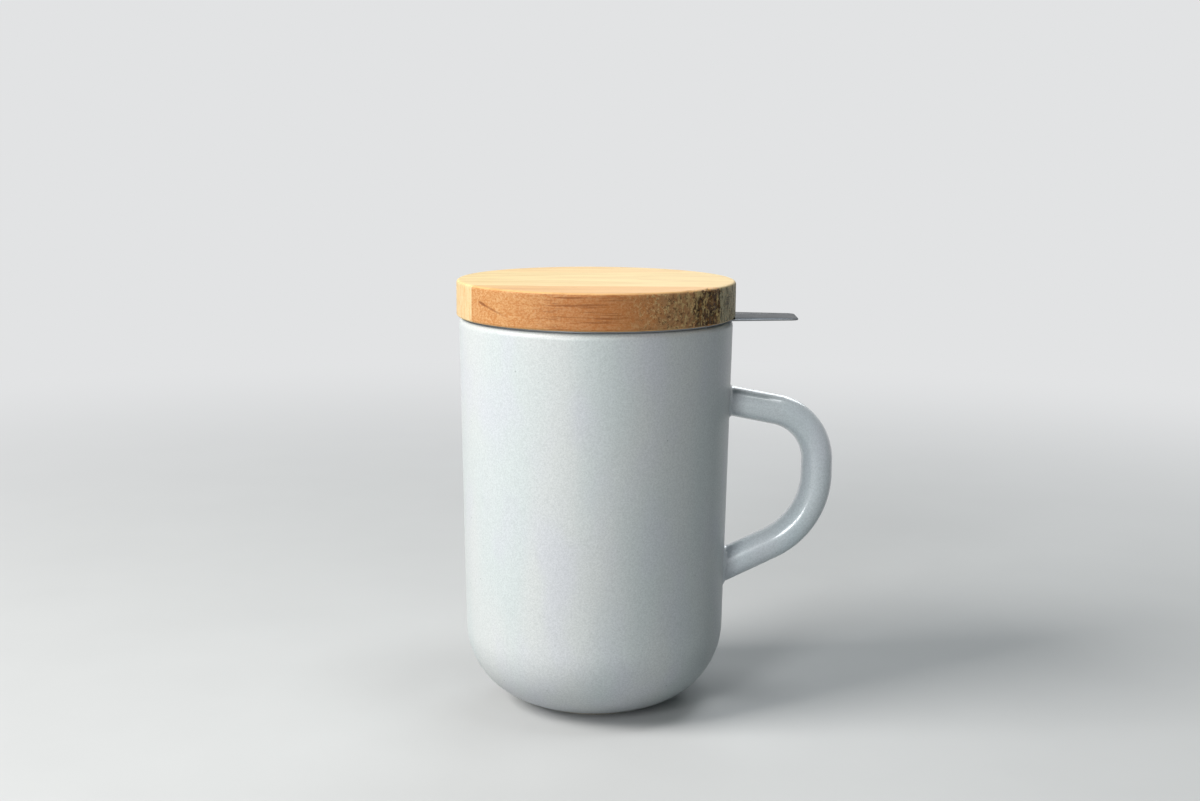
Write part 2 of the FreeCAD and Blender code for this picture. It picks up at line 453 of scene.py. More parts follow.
def mottle_group() -> bpy.types.NodeTree:
    """Fine mottle of a fired or moulded skin: cloudy tints, tiny grains and rare dark specks.

    Returns:
        The group, which puts out a colour, a height and a roughness.
    """
    graph, given = new_group("fine_mottle", ["Base", "Cool", "Warm", "Speck"],
                             ["Cloud", "Grain", "Specks"])
    place = given["Vector"]
    wide = graph.noise(graph.stretched(place, (1, 1, 0.3)), 0.05, 1.0)
    drift = graph.noise(graph.stretched(place, (1, 1, 0.5), (40, 11, 7)), 0.06)
    cool = graph.times(graph.band(wide, 0.4, 0.7), given["Cloud"])
    warm = graph.times(graph.band(drift, 0.45, 0.72), given["Cloud"])
    colour = graph.mix(cool, given["Base"], given["Cool"])
    colour = graph.mix(warm, colour, given["Warm"])
    coarse = graph.times(graph.noise(place, 1.9, 2.0, 0.7), 0.6)
    fine = graph.times(graph.noise(place, 5.5, 1.0, 0.6), 0.4)
    light = graph.band(graph.plus(coarse, fine), 0.34, 0.66)
    shade = graph.times(graph.minus(1.0, light), given["Grain"])
    colour = graph.mix(shade, colour, given["Speck"], "MULTIPLY")
    cells = graph.cells(place, 0.16)
    speck = graph.times(graph.band(cells, 0.025, 0.05, 1.0, 0.0), given["Specks"])
    colour = graph.mix(speck, colour, given["Speck"])
    height = graph.minus(light, graph.times(speck, 1.5))
    return graph.put_out(colour, Height=height, Rough=drift)


def figure_group() -> bpy.types.NodeTree:
    """Figure of a flat-sawn hardwood board along X: rings, streaks, pores and fibres.

    The rings are tubes about a wavering line far from the board, so that each face shows its own
    cut of them: long lines on top, and arcs on the ends. The turned side also shows a fine stipple
    of open pores.

    Returns:
        The group, which puts out a colour, a height and a roughness.
    """
    graph, given = new_group("wood_figure", ["Light", "Dark", "Pore"], [
        "Side", "Pith Y", "Pith Z", "Ring", "Rings", "Streaks", "Pores", "Stipple", "Seed"])
    seed = graph.add("CombineXYZ", dict.fromkeys(range(3), given["Seed"])).outputs[0]
    place = graph.moved(given["Vector"], seed)
    _, y, z = graph.parts(given["Vector"])
    across, above = graph.minus(y, given["Pith Y"]), graph.minus(z, given["Pith Z"])
    away = graph.math("SQRT", graph.plus(graph.times(across, across), graph.times(above, above)))
    warp = graph.grain(place, (0.012, 0.06, 0.06))
    ripple = graph.grain(place, (0.05, 0.5, 0.5))
    away = graph.plus(away, graph.times(warp, 14.0), graph.times(ripple, 1.2))
    turn = graph.math("FRACT", graph.math("DIVIDE", away, given["Ring"]))
    late = graph.times(graph.band(turn, 0.25, 0.9), graph.band(turn, 0.93, 1.0, 1.0, 0.0))
    broad = graph.grain(place, (0.02, 0.22, 0.22), 3.0, 0.6)
    streak = graph.grain(place, (0.035, 1.3, 1.3), 4.0, 0.62)
    fibre = graph.grain(place, (0.12, 7.0, 7.0), 2.0, 0.6)
    stipple = graph.grain(place, (1.3, 1.3, 1.8), 2.0, 0.75)
    open_pored = graph.times(given["Side"], given["Stipple"])
    dots = graph.times(graph.band(stipple, 0.46, 0.60), open_pored)
    dark = graph.plus(graph.times(late, given["Rings"]),
                      graph.times(graph.band(broad, 0.4, 0.68), 0.35),
                      graph.times(graph.band(streak, 0.46, 0.7), given["Streaks"]),
                      dots, graph.times(graph.minus(fibre, 0.5), 0.35), clamp=True)
    colour = graph.mix(dark, given["Light"], given["Dark"])
    cells = graph.cells(graph.stretched(place, (0.22, 2.6, 2.6)))
    sparse = graph.band(graph.grain(place, (0.08, 0.5, 0.5)), 0.42, 0.6)
    pore = graph.times(graph.band(cells, 0.13, 0.27, 1.0, 0.0), sparse, given["Pores"])
    colour = graph.mix(pore, colour, given["Pore"])
    flecks = graph.times(graph.band(stipple, 0.36, 0.44, 1.0, 0.0), open_pored, 0.45)
    colour = graph.mix(flecks, colour, graph.mix(0.45, given["Light"], (0.95, 0.80, 0.55)))
    height = graph.minus(graph.minus(graph.times(fibre, 0.4), pore), graph.times(dots, 0.8))
    rough = graph.plus(graph.times(streak, 0.5), graph.times(pore, 0.5))
    return graph.put_out(colour, Height=height, Rough=rough)


def bark_group() -> bpy.types.NodeTree:
    """Torn, half-rotten wood under the bark: dark brown flakes, pale patches and black pits.

    Returns:
        The group, which puts out a colour and a height.
    """
    graph, given = new_group("torn_bark", ["Dark", "Brown", "Pale", "Pit"], [])
    place = given["Vector"]
    swirl = graph.add("TexNoise", {"Vector": place, "Scale": 0.5}).outputs["Color"]
    swirled = graph.moved(place, swirl)
    flake = graph.grain(swirled, (0.8, 0.8, 0.85), 4.0, 0.7)
    patch = graph.grain(swirled, (0.55, 0.55, 0.5), 3.0, 0.7, (9, 2, 5))
    grit = graph.noise(place, 2.2, 2.0, 0.7)
    hollow = graph.noise(place, 0.35, 3.0, 0.6)
    colour = graph.mix(graph.band(flake, 0.40, 0.62), given["Dark"], given["Brown"])
    pale = graph.times(graph.band(patch, 0.55, 0.63), graph.band(grit, 0.36, 0.56))
    colour = graph.mix(pale, colour, given["Pale"])
    deep = graph.plus(graph.times(hollow, 0.5), graph.times(grit, 0.5))
    pit = graph.band(deep, 0.34, 0.40, 1.0, 0.0)
    colour = graph.mix(pit, colour, given["Pit"])
    rise = graph.plus(graph.times(flake, 2.0), graph.times(grit, 0.8))
    return graph.put_out(colour, Height=graph.minus(rise, pit))


def brush_group() -> bpy.types.NodeTree:
    """Fine straight scratches of a ground or rolled sheet, with faint cloudy wear.

    Returns:
        The group, which puts out a colour, a height and a roughness.
    """
    graph, given = new_group("brushed_sheet", ["Base", "Line"], ["Wear"])
    place = given["Vector"]
    lines = graph.grain(place, (0.09, 5.5, 5.5), 3.0, 0.65)
    scratch = graph.band(graph.grain(place, (1.4, 0.12, 0.5), 4.0, 0.8, (7, 3, 1)), 0.66, 0.74)
    cloud = graph.noise(place, 0.16, 3.0, 0.6)
    dull = graph.times(graph.band(cloud, 0.4, 0.7), given["Wear"])
    faint = graph.times(lines, 0.5)
    colour = graph.mix(graph.plus(faint, dull, clamp=True), given["Base"], given["Line"])
    height = graph.minus(lines, graph.times(scratch, 0.6))
    return graph.put_out(colour, Height=height, Rough=graph.plus(faint, dull))


@dataclass(frozen=True)
class Effects:
    """The node groups that the finishes share."""

    mottle: bpy.types.NodeTree
    figure: bpy.types.NodeTree
    bark: bpy.types.NodeTree
    brush: bpy.types.NodeTree


@dataclass(frozen=True)
class Finish:
    """What a piece is finished with. Each kind of finish feeds the shader in its own way."""

    name: str

    def dress(self, graph: MaterialGraph, effects: Effects) -> None:
        """Leaves the shader as it is."""

    def make(self, effects: Effects) -> bpy.types.Material:
        """Builds the material.

        Args:
            effects: The shared node groups.

        Returns:
            The material.
        """
        graph = MaterialGraph(self.name)
        self.dress(graph, effects)
        return graph.material


@dataclass(frozen=True)
class Glaze(Finish):
    """Satin celadon glaze over a pale clay that stays bare under the foot ring."""

    name: str = "celadon_glaze"
    base: Colour = srgb(214, 216, 214)
    cool: Colour = srgb(204, 213, 212)
    warm: Colour = srgb(210, 210, 217)
    speck: Colour = srgb(120, 128, 126)
    clay: Colour = srgb(214, 203, 186)
    clay_shade: Colour = srgb(176, 160, 140)
    roughness: float = 0.40
    rough_spread: float = 0.10
    clay_roughness: float = 0.45
    coat: float = 0.12
    coat_roughness: float = 0.16
    gloss: float = 0.32
    foot_height: float = 0.45
    foot_fade: float = 0.15
    relief: float = 0.010

    def dress(self, graph: MaterialGraph, effects: Effects) -> None:
        """Mixes the glaze with bare clay at the foot.

        Args:
            graph: The material's graph.
            effects: The shared node groups.
        """
        skin = graph.effect(effects.mottle, {
            "Base": self.base, "Cool": self.cool, "Warm": self.warm, "Speck": self.speck,
            "Cloud": 0.55, "Grain": 0.24, "Specks": 0.55})
        bare = graph.effect(effects.mottle, {
            "Base": self.clay, "Cool": self.clay_shade, "Warm": self.clay,
            "Speck": self.clay_shade, "Cloud": 0.6, "Grain": 0.5, "Specks": 1.0})
        z = graph.parts(graph.place)[2]
        foot = graph.band(z, self.foot_height - self.foot_fade, self.foot_height + self.foot_fade,
                          1.0, 0.0)
        graph.shade({
            "Base Color": graph.mix(foot, skin["Color"], bare["Color"]),
            "Roughness": graph.plus(self.roughness - self.rough_spread / 2,
                                    graph.times(skin["Rough"], self.rough_spread),
                                    graph.times(foot, self.clay_roughness)),
            "Specular IOR Level": self.gloss,
            "Coat Weight": graph.times(graph.minus(1.0, foot), self.coat),
            "Coat Roughness": self.coat_roughness})
        graph.bump(skin["Height"], self.relief)


@dataclass(frozen=True)
class Wood(Finish):
    """Oiled hardwood of one stave, with its grain along X."""

    light: Colour
    dark: Colour
    pore: Colour
    pith: tuple[float, float]
    ring: float
    rings: float
    streaks: float
    pores: float
    stipple: float
    seed: float
    roughness: float = 0.5
    rough_spread: float = 0.22
    gloss: float = 0.2
    relief: float = 0.05

    def dress(self, graph: MaterialGraph, effects: Effects) -> None:
        """Lays the figure and then the weathering.

        Args:
            graph: The material's graph.
            effects: The shared node groups.
        """
        upright = graph.math("ABSOLUTE", graph.parts(graph.normal)[2])
        side = graph.band(upright, 0.35, 0.8, 1.0, 0.0)
        figure = graph.effect(effects.figure, {
            "Side": side, "Light": self.light, "Dark": self.dark, "Pore": self.pore,
            "Pith Y": self.pith[0], "Pith Z": self.pith[1], "Ring": self.ring,
            "Rings": self.rings, "Streaks": self.streaks, "Pores": self.pores,
            "Stipple": self.stipple, "Seed": self.seed})
        colour, height = self.weathered(graph, effects, side, figure["Color"], figure["Height"])
        graph.shade({
            "Base Color": colour,
            "Roughness": graph.plus(self.roughness,
                                    graph.times(figure["Rough"], self.rough_spread)),
            "Specular IOR Level": self.gloss})
        graph.bump(height, self.relief)

    def weathered(self, graph: MaterialGraph, effects: Effects, side: Socket, colour: Socket,
                  height: Socket) -> tuple[Socket, Socket]:
        """Leaves the colour and height of sound wood as they are."""
        return colour, height


@dataclass(frozen=True)
class FrontWood(Wood):
    """The front stave, with a knot on the left of its side and torn wood on the right."""

    brown: Colour = srgb(168, 98, 52)
    olive: Colour = srgb(158, 126, 88)
    streak: Colour = srgb(134, 78, 40)
    bark: Colour = srgb(56, 37, 18)
    bark_brown: Colour = srgb(122, 86, 46)
    bark_pale: Colour = srgb(212, 182, 126)
    pit: Colour = srgb(24, 17, 11)
    knot: tuple[float, float] = (-33.0, 127.6)
    bark_start: float = 28.3
    bark_relief: float = 2.2

    def weathered(self, graph: MaterialGraph, effects: Effects, side: Socket, colour: Socket,
                  height: Socket) -> tuple[Socket, Socket]:
        """Adds the browned part, the knot and the torn patch.

        Args:
            graph: The material's graph.
            effects: The shared node groups.
            side: 1 on the turned side and 0 on flat faces.
            colour: Colour of the sound wood.
            height: Height of the sound wood.

        Returns:
            The new colour and height.
        """
        x, _, z = graph.parts(graph.place)
        colour = self.browned(graph, x, side, colour)
        colour = graph.mix(self.knot_mask(graph, x, z, side), colour, self.streak)
        return self.torn(graph, effects, x, side, colour, height)

    def browned(self, graph: MaterialGraph, x: Socket, side: Socket, colour: Socket) -> Socket:
        """Colours the turned side browner and then olive to the right, with dark streaks midway.

        Args:
            graph: The material's graph.
            x: Place along the grain.
            side: 1 on the turned side and 0 on flat faces.
            colour: Colour of the sound wood.

        Returns:
            The new colour.
        """
        wander = graph.noise(graph.place, 0.25, 3.0, 0.65)
        drift = graph.plus(x, graph.times(graph.minus(wander, 0.5), 26.0))
        brown = graph.times(graph.band(drift, -32.0, 2.0, 0.6, 1.0), side)
        colour = graph.mix(brown, colour, graph.mix(0.7, colour, self.brown))
        olive = graph.times(graph.band(drift, 8.0, 26.0, 0.0, 0.75), side)
        colour = graph.mix(olive, colour, graph.mix(0.8, colour, self.olive))
        lines = graph.grain(graph.place, (0.06, 0.3, 1.9), 3.0, 0.6, (5, 2, 1))
        span = graph.times(graph.band(x, -20.0, -10.0), graph.band(x, 4.0, 13.0, 1.0, 0.0))
        dark = graph.times(graph.band(lines, 0.52, 0.62), span, side, 0.7)
        return graph.mix(dark, colour, self.streak)

    def knot_mask(self, graph: MaterialGraph, x: Socket, z: Socket, side: Socket) -> Socket:
        """Mask of a small knot with a streak that runs down from it to the right.

        Args:
            graph: The material's graph.
            x: Place along the grain.
            z: Height.
            side: 1 on the turned side and 0 on flat faces.

        Returns:
            The mask's socket.
        """
        along = graph.minus(x, self.knot[0])
        up = graph.plus(graph.minus(z, self.knot[1]), graph.times(along, 0.42))
        spot = graph.plus(graph.math("POWER", graph.math("DIVIDE", along, 1.3), 2.0),
                          graph.math("POWER", graph.math("DIVIDE", up, 0.5), 2.0))
        trail = graph.times(graph.band(graph.math("ABSOLUTE", up), 0.1, 0.45, 0.6, 0.0),
                            graph.band(along, 0.0, 1.0), graph.band(along, 3.0, 8.0, 1.0, 0.0))
        both = graph.math("MAXIMUM", graph.band(spot, 0.3, 1.4, 0.85, 0.0), trail)
        return graph.times(both, side)

    def torn(self, graph: MaterialGraph, effects: Effects, x: Socket, side: Socket, colour: Socket,
             height: Socket) -> tuple[Socket, Socket]:
        """Adds torn wood at the right end, with spots and shreds that thin out to the left.

        Args:
            graph: The material's graph.
            effects: The shared node groups.
            x: Place along the grain.
            side: 1 on the turned side and 0 on flat faces.
            colour: Colour of the wood.
            height: Height of the wood.

        Returns:
            The new colour and height.
        """
        place = graph.place
        torn = graph.effect(effects.bark, {"Dark": self.bark, "Brown": self.bark_brown,
                                           "Pale": self.bark_pale, "Pit": self.pit})
        edge = graph.grain(place, (0.4, 0.4, 0.25), 4.0, 0.7, (1, 8, 3))
        start = graph.plus(x, graph.times(graph.minus(edge, 0.5), 6.0))
        full = graph.band(start, self.bark_start, self.bark_start + 0.7)
        fleck = graph.grain(place, (0.9, 0.9, 0.9), 4.0, 0.75, (4, 4, 1))
        spots = graph.times(graph.band(fleck, 0.54, 0.59), graph.band(x, 6.0, 24.0, 0.0, 0.72))
        mask = graph.times(graph.math("MAXIMUM", full, spots), side)
        shred = graph.grain(place, (0.8, 0.8, 0.24), 3.0, 0.7, (2, 6, 6))
        shreds = graph.times(graph.band(shred, 0.52, 0.60), graph.band(x, 18.0, 28.0, 0.0, 0.7),
                             side)
        fleck = graph.grain(place, (0.7, 0.7, 0.7), 4.0, 0.8, (7, 1, 9))
        gold = graph.times(graph.band(fleck, 0.54, 0.58), graph.band(x, 2.0, 22.0, 0.0, 0.75), side)
        colour = graph.mix(gold, colour, self.bark_pale)
        colour = graph.mix(mask, colour, torn["Color"])
        colour = graph.mix(shreds, colour, self.bark_pale)
        return colour, graph.plus(height, graph.times(torn["Height"], mask, self.bark_relief))


@dataclass(frozen=True)
class MiddleWood(Wood):
    """The middle stave: its ends show end grain, pale on the left and greyed on the right."""

    end_light: Colour = srgb(222, 194, 148)
    end_mark: Colour = srgb(206, 150, 92)
    end_grey: Colour = srgb(176, 168, 138)
    end_line: Colour = srgb(56, 50, 34)
    end_start: float = 34.0
    end_fade: float = 2.0
    end_relief: float = 1.6

    def weathered(self, graph: MaterialGraph, effects: Effects, side: Socket, colour: Socket,
                  height: Socket) -> tuple[Socket, Socket]:
        """Adds the end grain with its upright saw marks.

        Args:
            graph: The material's graph.
            effects: The shared node groups.
            side: 1 on the turned side and 0 on flat faces.
            colour: Colour of the sound wood.
            height: Height of the sound wood.

        Returns:
            The new colour and height.
        """
        x = graph.parts(graph.place)[0]
        start, full = self.end_start, self.end_start + self.end_fade
        lines = graph.grain(graph.place, (0.6, 0.9, 0.2), 4.0, 0.7)
        grit = graph.noise(graph.place, 1.7, 3.0, 0.7)
        left = graph.times(graph.band(x, -start, -full, 0.0, 0.85), side)
        pale = graph.mix(graph.band(lines, 0.46, 0.62, 0.0, 0.55), self.end_light, self.end_mark)
        pale = graph.mix(graph.band(grit, 0.5, 0.66, 0.0, 0.4), pale, self.end_mark)
        colour = graph.mix(left, colour, pale)
        right = graph.times(graph.band(x, start, full), side)
        grey = graph.mix(graph.band(lines, 0.49, 0.56), self.end_grey, self.end_line)
        grey = graph.mix(graph.band(grit, 0.52, 0.62, 0.0, 0.75), grey, self.end_light)
        colour = graph.mix(graph.times(right, 0.95), colour, grey)
        rise = graph.times(graph.plus(lines, grit), right, self.end_relief)
        return colour, graph.minus(height, rise)


@dataclass(frozen=True)
class Steel(Finish):
    """Brushed stainless sheet, with a share of another colour on its upright cut edges."""

    name: str = "brushed_steel"
    base: Colour = srgb(180, 181, 182)
    line: Colour = srgb(128, 130, 132)
    edge: Colour = srgb(214, 215, 216)
    edge_share: float = 0.0
    edge_roughness: float = 0.3
    graze: Colour = (1.0, 1.0, 1.0)
    roughness: float = 0.16
    rough_spread: float = 0.18
    wear: float = 0.3
    relief: float = 0.004

    def dress(self, graph: MaterialGraph, effects: Effects) -> None:
        """Brushes the sheet and colours its cut edges.

        Args:
            graph: The material's graph.
            effects: The shared node groups.
        """
        skin = graph.effect(effects.brush, {"Base": self.base, "Line": self.line,
                                            "Wear": self.wear})
        level = graph.math("ABSOLUTE", graph.parts(graph.normal)[2])
        cut = graph.band(level, 0.3, 0.9, self.edge_share, 0.0)
        # Where edge_share is set, as on the rim plate, the cut-edge colour is painted shade in the
        # gap under the lid, and the grazing tint is a painted dark reflection.
        graph.shade({
            "Base Color": graph.mix(cut, skin["Color"], self.edge),
            "Roughness": graph.plus(self.roughness, graph.times(skin["Rough"], self.rough_spread),
                                    graph.times(cut, self.edge_roughness)),
            "Metallic": 1.0,
            "Specular Tint": self.graze})
        graph.bump(skin["Height"], self.relief)


@dataclass(frozen=True)
class Silicone(Finish):
    """Pale translucent silicone."""

    name: str = "seal_silicone"
    base: Colour = srgb(222, 220, 212)
    shade: Colour = srgb(196, 192, 182)
    roughness: float = 0.48
    rough_spread: float = 0.12
    milkiness: float = 0.15
    scatter: float = 2.0
    relief: float = 0.01

    def dress(self, graph: MaterialGraph, effects: Effects) -> None:
        """Clouds the rubber a little.

        Args:
            graph: The material's graph.
            effects: The shared node groups.
        """
        skin = graph.effect(effects.mottle, {
            "Base": self.base, "Cool": self.shade, "Warm": self.base, "Speck": self.shade,
            "Cloud": 0.5, "Grain": 0.25, "Specks": 0.2})
        graph.shade({
            "Base Color": skin["Color"],
            "Roughness": graph.plus(self.roughness, graph.times(skin["Rough"], self.rough_spread)),
            "Subsurface Weight": self.milkiness,
            "Subsurface Scale": self.scatter * MM})
        graph.bump(skin["Height"], self.relief)


FRONT_WOOD = FrontWood(
    "wood_front_stave", light=srgb(230, 184, 124), dark=srgb(202, 142, 82), pore=srgb(138, 88, 50),
    pith=(-10.0, -46.0), ring=3.1, rings=0.10, streaks=0.20, pores=0.35, stipple=0.8, seed=3.0)
MIDDLE_WOOD = MiddleWood(
    "wood_middle_stave", light=srgb(238, 214, 158), dark=srgb(218, 178, 116),
    pore=srgb(180, 136, 84), pith=(6.0, 40.0), ring=2.7, rings=0.30, streaks=0.42, pores=0.3,
    stipple=0.12, seed=41.0)
BACK_WOOD = Wood(
    "wood_back_stave", light=srgb(240, 210, 152), dark=srgb(216, 168, 110),
    pore=srgb(170, 122, 74), pith=(30.0, 30.0), ring=2.9, rings=0.25, streaks=0.30, pores=0.4,
    stipple=0.25, seed=77.0)
# The handle's glaze is a lighter, bluer copy of the mug's glaze: painted light and a painted cool
# highlight, with a glossier coat.
LIT_HANDLE_GLAZE = Glaze(
    "celadon_glaze_handle_painted_light", base=srgb(224, 230, 232), cool=srgb(210, 226, 231),
    warm=srgb(220, 222, 229), roughness=0.27, coat=1.0, coat_roughness=0.15, gloss=0.5)
# The rim plate and tab take a darker copy of the brushed steel: its base colour and grazing tint
# are a painted dark reflection, and its dark cut edges are painted shade in the gap under the lid.
DARKENED_PLATE_STEEL = Steel(
    "plate_steel_painted_shade", base=srgb(128, 130, 132), line=srgb(96, 98, 100), edge=srgb(126, 128, 130),
    edge_share=1.0, graze=(0.3, 0.31, 0.32), roughness=0.1)


# Pieces


@dataclass
class Mug:
    """The ceramic mug and its handle. Sizes are millimetres."""

    mouth_play: float = 0.5
    side_taper: float = 1.8
    corner: float = 24.5
    belly_lift: float = 0.5
    wall: float = 3.8
    floor: float = 5.0
    lip_outer: float = 2.2
    lip_inner: float = 1.2
    foot_outer: float = 19.5
    foot_inner: float = 16.1
    foot_round: float = 0.4
    foot_lead: float = 0.1
    recess: float = 1.4
    recess_round: float = 0.3
    around: int = 256
    handle_drop: float = 25.6
    handle_span: float = 52.7
    handle_width: float = 11.0
    handle_sink: float = 3.0
    handle_margin: float = 0.05
    handle_around: int = 72
    top_slope: float = 10.5
    low_slope: float = 26.0
    top_bend: float = 16.0
    low_bend: float = 25.0
    top_thickness: float = 9.2
    low_thickness: float = 10.0
    smoothing: int = 50
    level_zone: float = 10.0
    fillet: float = 0.9
    buried: float = 0.35
    end_depth: float = 1.2

    def __post_init__(self) -> None:
        """Reads the mug's height, mouth and handle from the frame."""
        self.height = node_box("mug_body")[1][2]
        self.mouth = self.mouth_play - node_box("infuser_rim")[0][0]
        half = (self.top_thickness + self.low_thickness) / 4
        self.reach = node_box("mug_handle")[1][0] - half - self.handle_margin

    def side(self, z: np.ndarray | float) -> np.ndarray | float:
        """Outside radius of the tapering side at height z."""
        start = self.belly_lift + self.corner
        return self.mouth - self.side_taper * (self.height - z) / (self.height - start)

    def shell(self) -> Mesh:
        """The thrown shell with its lip, base curve, foot ring and recess.

        Returns:
            Points and quads.
        """
        floor = self.belly_lift + self.floor
        belly = self.side(self.belly_lift)
        shell = rounded_profile([
            (0, floor, 0),
            (self.side(floor) - self.wall, floor, self.corner - self.wall),
            (self.mouth - self.wall, self.height, self.lip_inner),
            (self.mouth, self.height, self.lip_outer),
            (belly, self.belly_lift, self.corner),
            (0, self.belly_lift, 0),
        ], closed=False, arc_step=2.5)
        lip = int(np.argmax(shell[:, 1] >= self.height - 1e-6))
        outside = shell[lip:]
        outside = outside[outside[:, 0] > self.foot_outer + self.foot_lead]
        across = self.foot_outer - (belly - self.corner)
        above = self.corner - math.sqrt(self.corner ** 2 - across ** 2)
        foot = rounded_profile([
            (self.foot_outer, self.belly_lift + above, 0),
            (self.foot_outer, 0, self.foot_round),
            (self.foot_inner, 0, self.foot_round),
            (self.foot_inner, self.recess, self.recess_round),
            (0, self.recess, 0),
        ], closed=False, arc_step=15)
        profile = finer(np.concatenate([shell[:lip], outside, foot]), longest=3.0)
        return turned_surface(profile, self.around, closed=False)

    def handle_line(self) -> tuple[np.ndarray, np.ndarray]:
        """Centre line of the handle from its upper end to its lower one.

        Returns:
            Its points (x, z), and the unit vector along it at each, smoothed over the bends.
        """
        start = self.mouth - self.side_taper
        top = self.height - self.handle_drop
        low = top - self.handle_span
        out = self.reach - start
        rise, fall = math.tan(math.radians(self.top_slope)), math.tan(math.radians(self.low_slope))
        line = finer(rounded_profile([
            (start - self.handle_sink, top + rise * self.handle_sink, 0),
            (self.reach, top - rise * out, self.top_bend),
            (self.reach, low + fall * out, self.low_bend),
            (start - self.handle_sink, low - fall * self.handle_sink, 0),
        ], closed=False, arc_step=1.5), longest=0.35)
        along = np.gradient(line, axis=0)
        along /= np.linalg.norm(along, axis=1)[:, None]
        for _ in range(self.smoothing):
            along[1:-1] = (along[:-2] + 2 * along[1:-1] + along[2:]) / 4
        return line, along / np.linalg.norm(along, axis=1)[:, None]

    def handle(self) -> Mesh:
        """The drawn handle: P(s, a) = C(s) + t(s) cos a U(s) + w(s) sin a Y.

        C is the centre line and U is square to it, but turns upright near the wall. The half
        sizes t and w flare to the wall along a quarter circle. Points that would lie inside the
        mug are drawn out to just under its surface.

        Returns:
            Points and quads.
        """
        line, along = self.handle_line()
        off = line[:, 0] - self.side(line[:, 1])
        near = np.clip(1 - off / self.level_zone, 0, 1)[:, None]
        near = near * near * (3 - 2 * near)
        level = np.stack([np.sign(along[:, 0]), 0 * off], 1)
        facing = along * (1 - near) + level * near
        facing /= np.linalg.norm(facing, axis=1)[:, None]
        upright = np.stack([-facing[:, 1], facing[:, 0]], 1)
        gap = self.fillet - np.clip(off - self.handle_margin, 0, self.fillet)
        flare = self.fillet - np.sqrt(self.fillet ** 2 - gap ** 2)
        thickness = np.linspace(self.top_thickness, self.low_thickness, len(line))
        tall = thickness / 2 / (facing * along).sum(1) + flare
        wide = self.handle_width / 2 + flare
        turn = np.arange(self.handle_around) * 2 * math.pi / self.handle_around
        lift = tall[:, None] * np.cos(turn)
        points = np.stack([line[:, :1] + upright[:, :1] * lift, wide[:, None] * np.sin(turn),
                           line[:, 1:] + upright[:, 1:] * lift], 2)
        away = np.hypot(points[..., 0], points[..., 1])
        under = self.side(points[..., 2]) - self.buried
        points[..., :2] *= np.where(away < under, under / away, 1.0)[..., None]
        points = points[off > -self.end_depth]
        ends = points[[0, -1]].mean(axis=1, keepdims=True).repeat(self.handle_around, 1)
        points = np.concatenate([ends[:1], points, ends[1:]])
        faces = grid_faces(len(points), self.handle_around, wrap_columns=True)
        return points.reshape(-1, 3), faces

    def build(self, effects: Effects) -> None:
        """Builds the mug and its handle.

        Args:
            effects: The shared node groups.
        """
        shell = make_piece("mug_shell", self.shell(), sharp=40)
        fit(shell, Glaze().make(effects), Body.MUG, Slot.GLAZE, "mug_body")
        handle = make_piece("mug_loop_handle", self.handle(), sharp=60)
        fit(handle, LIT_HANDLE_GLAZE.make(effects), Body.MUG, Slot.GLAZE, "mug_handle")


